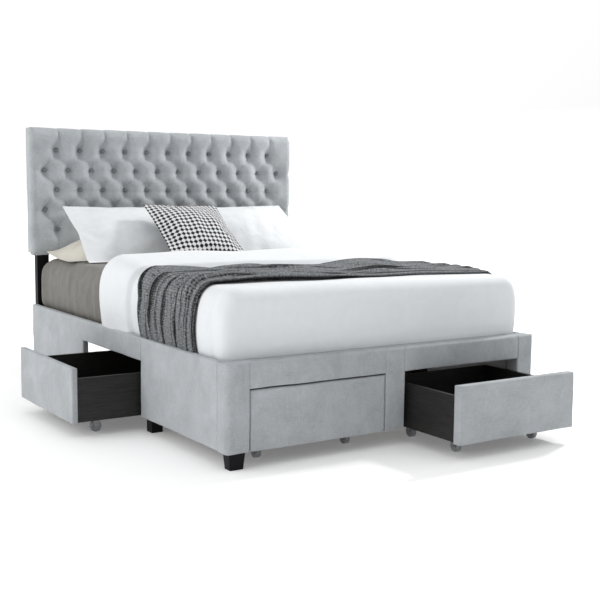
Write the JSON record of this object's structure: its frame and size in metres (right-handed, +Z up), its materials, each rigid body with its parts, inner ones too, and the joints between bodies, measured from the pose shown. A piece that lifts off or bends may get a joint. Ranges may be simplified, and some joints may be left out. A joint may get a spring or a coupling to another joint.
{
  "type": "platform bed with storage drawers",
  "caption": "Upholstered double platform bed with a tufted headboard, drawers on castors at the foot and sides, mattress and bedding.",
  "frame": {"origin": "middle of the bed frame on the floor, at the foot of the middle centre leg", "axes": "+Z up, +Y towards the headboard, +X to the right seen from the foot"},
  "size_m": [1.751, 2.396, 1.255],
  "materials": {
    "headboard_fabric": "light bluish grey brushed weave, diamond tufted",
    "backing_cloth": "black non-woven dust cloth",
    "panel_fabric": "light bluish grey brushed weave stretched over padding",
    "black_wood": "black stained, satin",
    "pale_wood": "plain sawn pine",
    "steel": "zinc plated",
    "castor_steel": "grey stamped steel",
    "castor_wheel": "grey nylon",
    "drawer_wood": "black brown wood grain foil",
    "mattress_cloth": "taupe fitted sheet",
    "duvet_cotton": "smooth white cotton",
    "throw_knit": "charcoal and grey melange knit with ribs",
    "pillow_cotton": "smooth white cotton",
    "ivory_cotton": "ivory cotton",
    "cushion_weave": "black and white small geometric weave"
  },
  "bodies": {
    "bed_frame": {"back_pillow_left": "ivory_cotton", "back_pillow_right": "ivory_cotton", "centre_beam": "pale_wood", "centre_legs": "black_wood", "corner_brackets": "steel", "cross_rails": "pale_wood", "cushion": "cushion_weave", "duvet": "duvet_cotton", "foot_corner_legs": "black_wood", "foot_stile_centre": "panel_fabric", "foot_stile_left": "panel_fabric", "foot_stile_right": "panel_fabric", "foot_top_rail": "panel_fabric", "frame_bolts": "steel", "headboard_back_panel": "backing_cloth", "headboard_buttons": "headboard_fabric", "headboard_cross_rails": "pale_wood", "headboard_posts": "black_wood", "headboard_upholstery": "headboard_fabric", "mattress": "mattress_cloth", "mid_legs": "black_wood", "pillow_left": "pillow_cotton", "pillow_right": "pillow_cotton", "side_foot_panel_left": "panel_fabric", "side_foot_panel_right": "panel_fabric", "side_head_block_left": "panel_fabric", "side_head_block_right": "panel_fabric", "side_rail_left": "panel_fabric", "side_rail_right": "panel_fabric", "slat_ledgers": "pale_wood", "slats": "pale_wood", "throw": "throw_knit"},
    "foot_drawer_left": {"foot_drawer_left_back": "drawer_wood", "foot_drawer_left_castor_forks": "castor_steel", "foot_drawer_left_floor": "drawer_wood", "foot_drawer_left_front": "panel_fabric", "foot_drawer_left_sides": "drawer_wood"},
    "foot_drawer_left_front_wheels": {"foot_drawer_left_front_wheels": "castor_wheel"},
    "foot_drawer_left_back_wheels": {"foot_drawer_left_back_wheels": "castor_wheel"},
    "foot_drawer_right": {"foot_drawer_right_back": "drawer_wood", "foot_drawer_right_castor_forks": "castor_steel", "foot_drawer_right_floor": "drawer_wood", "foot_drawer_right_front": "panel_fabric", "foot_drawer_right_sides": "drawer_wood"},
    "foot_drawer_right_front_wheels": {"foot_drawer_right_front_wheels": "castor_wheel"},
    "foot_drawer_right_back_wheels": {"foot_drawer_right_back_wheels": "castor_wheel"},
    "side_drawer_left": {"side_drawer_left_back": "drawer_wood", "side_drawer_left_castor_forks": "castor_steel", "side_drawer_left_floor": "drawer_wood", "side_drawer_left_front": "panel_fabric", "side_drawer_left_sides": "drawer_wood"},
    "side_drawer_left_front_wheels": {"side_drawer_left_front_wheels": "castor_wheel"},
    "side_drawer_left_back_wheels": {"side_drawer_left_back_wheels": "castor_wheel"},
    "side_drawer_right": {"side_drawer_right_back": "drawer_wood", "side_drawer_right_castor_forks": "castor_steel", "side_drawer_right_floor": "drawer_wood", "side_drawer_right_front": "panel_fabric", "side_drawer_right_sides": "drawer_wood"},
    "side_drawer_right_front_wheels": {"side_drawer_right_front_wheels": "castor_wheel"},
    "side_drawer_right_back_wheels": {"side_drawer_right_back_wheels": "castor_wheel"}
  },
  "joints": [
    {"name": "foot_drawer_left_slide", "type": "slide", "parent": "bed_frame", "child": "foot_drawer_left", "axis": [0, -1, 0], "range_m": [0, 0.41]},
    {"name": "foot_drawer_left_front_wheels_spin", "type": "hinge", "parent": "foot_drawer_left", "child": "foot_drawer_left_front_wheels", "pos_m": [-0.343, -0.9055, 0.0235], "axis": [1, 0, 0], "continuous": true},
    {"name": "foot_drawer_left_back_wheels_spin", "type": "hinge", "parent": "foot_drawer_left", "child": "foot_drawer_left_back_wheels", "pos_m": [-0.343, -0.6305, 0.0235], "axis": [1, 0, 0], "continuous": true},
    {"name": "foot_drawer_right_slide", "type": "slide", "parent": "bed_frame", "child": "foot_drawer_right", "axis": [0, -1, 0], "range_m": [-0.325, 0.085]},
    {"name": "foot_drawer_right_front_wheels_spin", "type": "hinge", "parent": "foot_drawer_right", "child": "foot_drawer_right_front_wheels", "pos_m": [0.343, -1.2305, 0.0235], "axis": [1, 0, 0], "continuous": true},
    {"name": "foot_drawer_right_back_wheels_spin", "type": "hinge", "parent": "foot_drawer_right", "child": "foot_drawer_right_back_wheels", "pos_m": [0.343, -0.9555, 0.0235], "axis": [1, 0, 0], "continuous": true},
    {"name": "side_drawer_left_slide", "type": "slide", "parent": "bed_frame", "child": "side_drawer_left", "axis": [-1, 0, 0], "range_m": [-0.283, 0.147]},
    {"name": "side_drawer_left_front_wheels_spin", "type": "hinge", "parent": "side_drawer_left", "child": "side_drawer_left_front_wheels", "pos_m": [-0.885, 0.0025, 0.0235], "axis": [0, -1, 0], "continuous": true},
    {"name": "side_drawer_left_back_wheels_spin", "type": "hinge", "parent": "side_drawer_left", "child": "side_drawer_left_back_wheels", "pos_m": [-0.55, 0.0025, 0.0235], "axis": [0, -1, 0], "continuous": true},
    {"name": "side_drawer_right_slide", "type": "slide", "parent": "bed_frame", "child": "side_drawer_right", "axis": [1, 0, 0], "range_m": [0, 0.43]},
    {"name": "side_drawer_right_front_wheels_spin", "type": "hinge", "parent": "side_drawer_right", "child": "side_drawer_right_front_wheels", "pos_m": [0.602, 0.0025, 0.0235], "axis": [0, 1, 0], "continuous": true},
    {"name": "side_drawer_right_back_wheels_spin", "type": "hinge", "parent": "side_drawer_right", "child": "side_drawer_right_back_wheels", "pos_m": [0.267, 0.0025, 0.0235], "axis": [0, 1, 0], "continuous": true}
  ],
  "couplings": [
    {"joint": "foot_drawer_left_front_wheels_spin", "follows": "foot_drawer_left_slide", "rad_per_m": 43.478},
    {"joint": "foot_drawer_left_back_wheels_spin", "follows": "foot_drawer_left_slide", "rad_per_m": 43.478},
    {"joint": "foot_drawer_right_front_wheels_spin", "follows": "foot_drawer_right_slide", "rad_per_m": 43.478},
    {"joint": "foot_drawer_right_back_wheels_spin", "follows": "foot_drawer_right_slide", "rad_per_m": 43.478},
    {"joint": "side_drawer_left_front_wheels_spin", "follows": "side_drawer_left_slide", "rad_per_m": 43.478},
    {"joint": "side_drawer_left_back_wheels_spin", "follows": "side_drawer_left_slide", "rad_per_m": 43.478},
    {"joint": "side_drawer_right_front_wheels_spin", "follows": "side_drawer_right_slide", "rad_per_m": 43.478},
    {"joint": "side_drawer_right_back_wheels_spin", "follows": "side_drawer_right_slide", "rad_per_m": 43.478}
  ]
}
